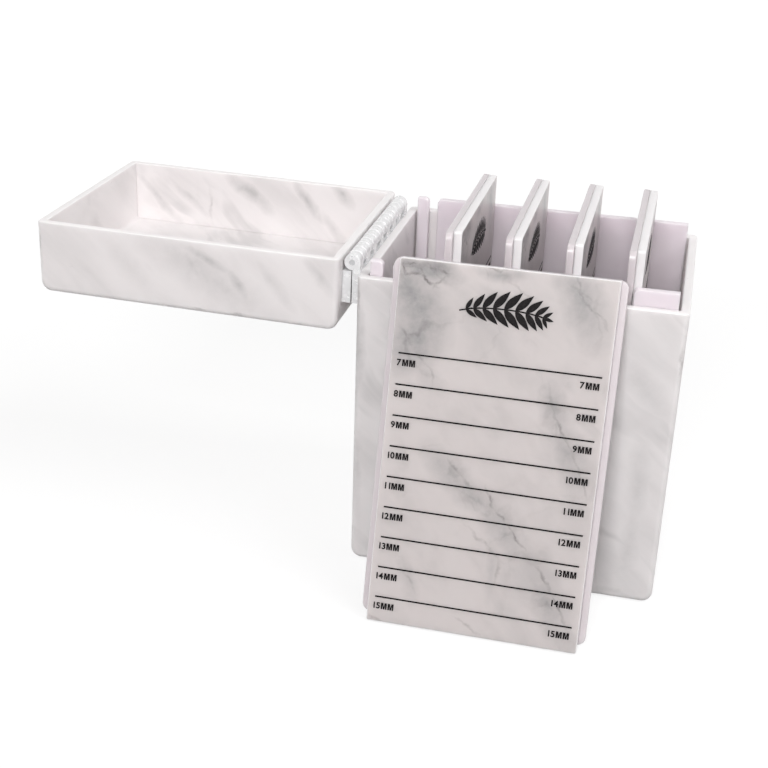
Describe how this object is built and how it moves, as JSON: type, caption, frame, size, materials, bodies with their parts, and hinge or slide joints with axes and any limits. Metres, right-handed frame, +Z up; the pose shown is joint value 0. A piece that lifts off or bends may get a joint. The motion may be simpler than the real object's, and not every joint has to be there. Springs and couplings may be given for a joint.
{
  "type": "false eyelash case",
  "caption": "White marble-look plastic case with a lid on a clear hinge and upright slots for flat lash tiles printed with length lines.",
  "frame": {"origin": "centre of the case's base, on the table", "axes": "+X along the front to the right, away from the hinge, +Y to the back, +Z up"},
  "size_m": [0.237, 0.1277, 0.1332],
  "materials": {
    "marble_shell": "gloss",
    "comb_white": "satin",
    "clear_hinge": "clear",
    "pin_steel": "bright",
    "tile_backing": "gloss",
    "tile_face": "gloss"
  },
  "bodies": {
    "case": {"case_shell": "marble_shell", "front_slot_comb": "comb_white", "rear_slot_comb": "comb_white", "case_hinge_leaf": "clear_hinge", "hinge_pin": "pin_steel"},
    "lid": {"lid_shell": "marble_shell", "lid_hinge_leaf": "clear_hinge"},
    "tile_1": {"tile_1_backing": "tile_backing", "tile_1_face": "tile_face"},
    "tile_2": {"tile_2_backing": "tile_backing", "tile_2_face": "tile_face"},
    "tile_3": {"tile_3_backing": "tile_backing", "tile_3_face": "tile_face"},
    "tile_4": {"tile_4_backing": "tile_backing", "tile_4_face": "tile_face"},
    "tile_5": {"tile_5_backing": "tile_backing", "tile_5_face": "tile_face"}
  },
  "joints": [
    {"name": "lid_hinge", "type": "hinge", "parent": "case", "child": "lid", "pos_m": [-0.06085, 0, 0.1178], "axis": [0, -1, 0], "range_deg": [-179, 0]},
    {"name": "tile_1_lift", "type": "slide", "parent": "case", "child": "tile_1", "axis": [0, 0, 1], "range_m": [0, 0.12]},
    {"name": "tile_2_lift", "type": "slide", "parent": "case", "child": "tile_2", "axis": [0, 0, 1], "range_m": [0, 0.12]},
    {"name": "tile_3_lift", "type": "slide", "parent": "case", "child": "tile_3", "axis": [0, 0, 1], "range_m": [0, 0.12]},
    {"name": "tile_4_lift", "type": "slide", "parent": "case", "child": "tile_4", "axis": [0, 0, 1], "range_m": [0, 0.12]},
    {"name": "tile_5_lift", "type": "slide", "parent": "case", "child": "tile_5", "axis": [0, 0, 1], "range_m": [0, 0.12]}
  ]
}
